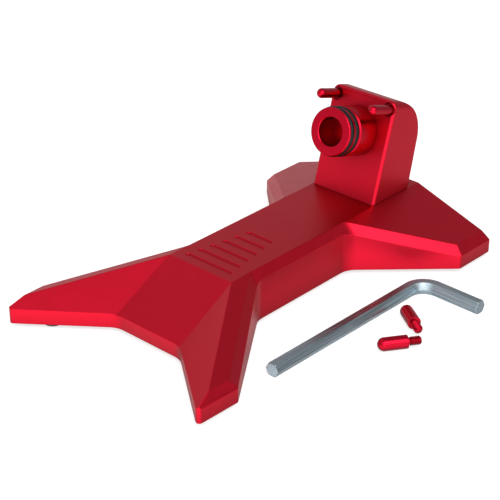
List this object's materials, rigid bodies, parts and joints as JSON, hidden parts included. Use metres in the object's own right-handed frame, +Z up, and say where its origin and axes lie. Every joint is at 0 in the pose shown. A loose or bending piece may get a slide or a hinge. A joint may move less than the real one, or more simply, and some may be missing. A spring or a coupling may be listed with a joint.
{
  "type": "engine stand",
  "caption": "Milled aluminium bench stand with splayed legs and a leaning bracket that carries an O-ringed spigot and locating pins for holding a small engine.",
  "frame": {"origin": "bench level, in the middle of the box round the stand, its hex key and its spare pins", "axes": "+Z up, -Y towards the spigot's open end and the front toes, +X to the right seen from the front"},
  "size_m": [0.1474, 0.194, 0.0745],
  "materials": {
    "base_anodised": "fine-blasted, satin red anodised, milled facets with crisp edges",
    "bracket_anodised": "fine-blasted, satin red anodised",
    "turned_anodised": "turned and red anodised, glossier than the base",
    "ring_rubber": "smooth black nitrile rubber, slightly oily",
    "foot_rubber": "moulded matt black rubber",
    "screw_steel": "black oxide",
    "dowel_steel": "ground bright steel",
    "key_steel": "nickel plated, satin"
  },
  "bodies": {
    "stand": {"base_plate": "base_anodised", "upright_bracket": "bracket_anodised", "mount_spigot": "turned_anodised", "spigot_screw": "screw_steel", "o_ring_front": "ring_rubber", "o_ring_rear": "ring_rubber", "bracket_screws": "screw_steel", "bracket_dowels": "dowel_steel", "foot_front_left": "foot_rubber", "foot_front_right": "foot_rubber", "foot_rear_left": "foot_rubber", "foot_rear_right": "foot_rubber", "spare_pin_front": "turned_anodised", "spare_pin_rear": "turned_anodised", "hex_key": "key_steel"},
    "left_pin": {"locating_pin_left": "turned_anodised"},
    "right_pin": {"locating_pin_right": "turned_anodised"}
  },
  "joints": [
    {"name": "left_pin_unscrew", "type": "slide", "parent": "stand", "child": "left_pin", "axis": [0, -0.9588, 0.284], "range_m": [0, 0.006]},
    {"name": "right_pin_unscrew", "type": "slide", "parent": "stand", "child": "right_pin", "axis": [0, -0.9588, 0.284], "range_m": [0, 0.006]}
  ]
}
